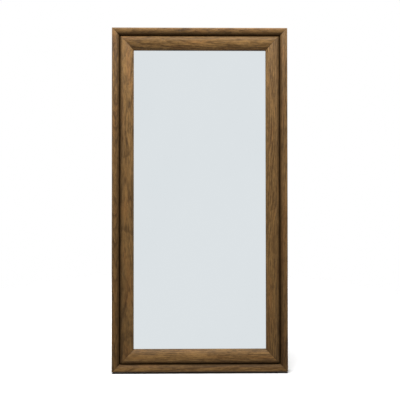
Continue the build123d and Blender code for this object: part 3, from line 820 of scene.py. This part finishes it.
def easedCopy(name, nodeName, body, material, width):
    built = bmesh.new()
    built.from_mesh(nodes[nodeName].data)
    bmesh.ops.remove_doubles(built, verts=built.verts, dist=1e-6)
    bmesh.ops.dissolve_limit(
        built, angle_limit=math.radians(1), use_dissolve_boundaries=False,
        verts=built.verts, edges=built.edges,
    )
    sharp = [edge for edge in built.edges if edge.is_manifold and edge.calc_face_angle(0) > math.radians(40)]
    bmesh.ops.bevel(
        built, geom=sharp, offset=width, offset_type="OFFSET", segments=2, profile=0.6, affect="EDGES",
        clamp_overlap=True,
    )
    bmesh.ops.recalc_face_normals(built, faces=built.faces)
    mesh = bpy.data.meshes.new(name)
    built.to_mesh(mesh)
    built.free()
    shadeBy(mesh, 35)
    return newPiece(name, mesh, material, body, [nodeName])


for level in ("bottom", "top"):
    for side in ("left", "right"):
        name = f"cornerPlate{level.capitalize()}{side.capitalize()}"
        easedCopy(name, f"corner_plate_{level}_{side}", "frame", zincPlate, easedEdge["plate"])
easedCopy("boardClips", "board_clips", "frame", zincPlate, easedEdge["clip"])
for side in ("left", "right"):
    cap, strapEdge = side.capitalize(), easedEdge["strap"]
    easedCopy(f"hangerStrap{cap}", f"hanger_strap_{side}", "frame", nickel, strapEdge)
    easedCopy(f"glide{cap}", f"glide_{side}", "frame", rubber, easedEdge["rubber"])
    easedCopy(f"strutFoot{cap}", f"strut_foot_{side}", "strut", rubber, easedEdge["rubber"])

finishes = {
    "mirror_glass": silveredGlass,
    "backing_board": hardboard,
    "foam_sheet": foam,
    "setting_pads": rubber,
    "strut_bumpers": rubber,
    "mitre_dowels": makeOak("dowelBeech", uprightGrain, Vector(), 61, 1.3),
    "strut_pegs": makeOak("pegOak", strutGrain, Vector(), 62, 0.7),
}
for name, node in nodes.items():
    if node.hide_render:
        continue
    if name.startswith("glass_felt"):
        material = felt
    elif name.startswith("hanger_ring"):
        material = nickel
    elif "leaf" in name or "hinge" in name:
        material = zincScrew if "screws" in name else brass
    else:
        material = finishes[name]
    for index in range(len(node.data.materials)):
        node.data.materials[index] = material
print("small parts made")

# the room: a pale floor that fades out, with a painted shadow under the frame, soft light from above on both
# sides, and one lamp behind

room = {
    "skyForShade": 0.16,  # how strongly the white sky lights the shaded sides
    "skyForGloss": 0.80,  # and how strongly it shows in reflections
    "lamps": {  # place, width and power; none of them lights the floor
        "key": ((-1.15, -1.20, 3.30), 0.9, 45),
        "fill": ((1.15, -1.20, 3.30), 0.9, 40),
        "near": ((0.1, -0.75, 2.60), 0.5, 10),  # close above the top
        "rear": ((0.7, 2.7, 1.6), 1.2, 26),
    },
    "lampAim": (0.0, 0.0, 1.3),
    "floorLamp": ((-0.4, -0.3, 4.0), 3.3, 345),  # lights only the floor
    "floorBounce": 0.15,  # the share of the floor's light that reaches the mirror
    "floorColour": (0.86, 0.86, 0.86, 1),
    "floorFade": (1.3, 2.3),
    "paintedShadowColour": (0.16, 0.15, 0.14, 1),  # a painted contact shadow on the floor under the frame
    "paintedShadowFront": 0.055,  # how far out from the frame's back that reaches
    "paintedShadowBlur": (0.003, 0.006),  # at its front edge, and at the others
}


def addLamp(name, place, aim, size, power):
    light = bpy.data.lights.new(name, "AREA")
    light.shape = "DISK"
    light.size = size
    light.energy = power
    lamp = bpy.data.objects.new(name, light)
    bpy.context.scene.collection.objects.link(lamp)
    lamp.location = place
    lamp.rotation_euler = (Vector(aim) - Vector(place)).to_track_quat("-Z", "Y").to_euler()
    return lamp


def makeRoom(setting):
    scene = bpy.context.scene
    scene.view_settings.view_transform = "Standard"
    world = bpy.data.worlds.new("studio")
    scene.world = world
    world.use_nodes = True
    tree = world.node_tree
    paths = addNode(tree, "LightPath")
    strength = 1.0
    for ray, share in (("Is Diffuse Ray", setting["skyForShade"]), ("Is Glossy Ray", setting["skyForGloss"])):
        strength = sums(tree, "MULTIPLY_ADD", paths.outputs[ray], share - 1, strength)
    feed(tree, tree.nodes["Background"], Color=(1, 1, 1, 1), Strength=strength)

    offFloor = bpy.data.collections.new("notTheFloor")
    for name, (lampPlace, size, power) in setting["lamps"].items():
        lamp = addLamp(name, lampPlace, setting["lampAim"], size, power)
        lamp.light_linking.receiver_collection = offFloor
    lampPlace, size, power = setting["floorLamp"]
    floorLamp = addLamp("floorLamp", lampPlace, (*lampPlace[:2], 0), size, power)
    floorLamp.light_linking.receiver_collection = bpy.data.collections.new("litByFloorLamp")

    built = bmesh.new()
    bmesh.ops.create_circle(built, cap_ends=True, segments=96, radius=setting["floorFade"][1] + 0.3)
    mesh = bpy.data.meshes.new("floor")
    built.to_mesh(mesh)
    built.free()
    floor = bpy.data.objects.new("floor", mesh)
    scene.collection.objects.link(floor)
    floorLamp.light_linking.receiver_collection.objects.link(floor)
    offFloor.objects.link(floor)
    offFloor.collection_objects[0].light_linking.link_state = "EXCLUDE"
    floor.visible_glossy = False
    material, tree, surface = newMaterial("paleFloor")
    place = addNode(tree, "TexCoord").outputs["Object"]
    distance = addNode(tree, "VectorMath", operation="LENGTH")
    put(tree, distance.inputs[0], place)
    fade = remap(tree, distance.outputs["Value"], *setting["floorFade"])
    grain = remap(tree, cloud(tree, place, (3, 3, 3), 3.0), 0.3, 0.7, 0.985, 1.0)
    colour = blendColours(tree, 1.0, setting["floorColour"], grain, "MULTIPLY")
    apart = feed(tree, addNode(tree, "SeparateXYZ"), Vector=place)
    # painted contact shadow: the floor's colour darkened under the frame's foot
    frontEdge, rearEdge = onFrame(0, 0, setting["paintedShadowFront"]).y, onFrame(0, 0).y
    frontBlur, blur = setting["paintedShadowBlur"]
    paintedShadow = remap(tree, sums(tree, "ABSOLUTE", apart.outputs["X"]), halfWidth, halfWidth - blur)
    paintedShadow = sums(tree, "MULTIPLY", paintedShadow, remap(tree, apart.outputs["Y"], frontEdge, frontEdge + frontBlur))
    paintedShadow = sums(tree, "MULTIPLY", paintedShadow, remap(tree, apart.outputs["Y"], rearEdge, rearEdge - blur))
    colour = blendColours(tree, paintedShadow, colour, setting["paintedShadowColour"])
    bounce = addNode(tree, "LightPath").outputs["Is Diffuse Ray"]
    bounce = sums(tree, "MULTIPLY_ADD", bounce, setting["floorBounce"] - 1, 1.0)
    colour = blendColours(tree, 1.0, colour, bounce, "MULTIPLY")
    feed(tree, surface, Base_Color=colour, Roughness=0.9)
    put(tree, surface.inputs["Specular IOR Level"], 0.0)
    clear = addNode(tree, "BsdfTransparent")
    mixed = addNode(tree, "MixShader")
    for socket, value in zip(mixed.inputs, (fade, surface.outputs[0], clear.outputs[0])):
        put(tree, socket, value)
    put(tree, tree.nodes["Material Output"].inputs["Surface"], mixed.outputs[0])
    mesh.materials.append(material)


makeRoom(room)

viewpoint = {
    "distance": 2.80,  # out from the frame's back, square to it
    "aside": -0.0315,  # of the frame's middle
    "above": -0.0315,
    "turn": -0.0117,
    "tip": 0.0101,
    "roll": -0.0007,
    "lens": 47.32,
    "sensor": 36,
}


def placeCamera(view):
    cameraData = bpy.data.cameras.new("camera")
    cameraData.lens = view["lens"]
    cameraData.sensor_width = view["sensor"]
    camera = bpy.data.objects.new("camera", cameraData)
    bpy.context.scene.collection.objects.link(camera)
    frameTurn = Matrix((acrossDir, upDir, frontDir)).transposed()
    ownTurn = Matrix.Rotation(view["turn"], 3, "Y") @ Matrix.Rotation(view["tip"], 3, "X")
    ownTurn = ownTurn @ Matrix.Rotation(view["roll"], 3, "Z")
    place = onFrame(view["aside"], frameHeight / 2 + view["above"], view["distance"])
    camera.matrix_world = Matrix.Translation(place) @ (frameTurn @ ownTurn).to_4x4()
    bpy.context.scene.camera = camera


placeCamera(viewpoint)
print("room made")
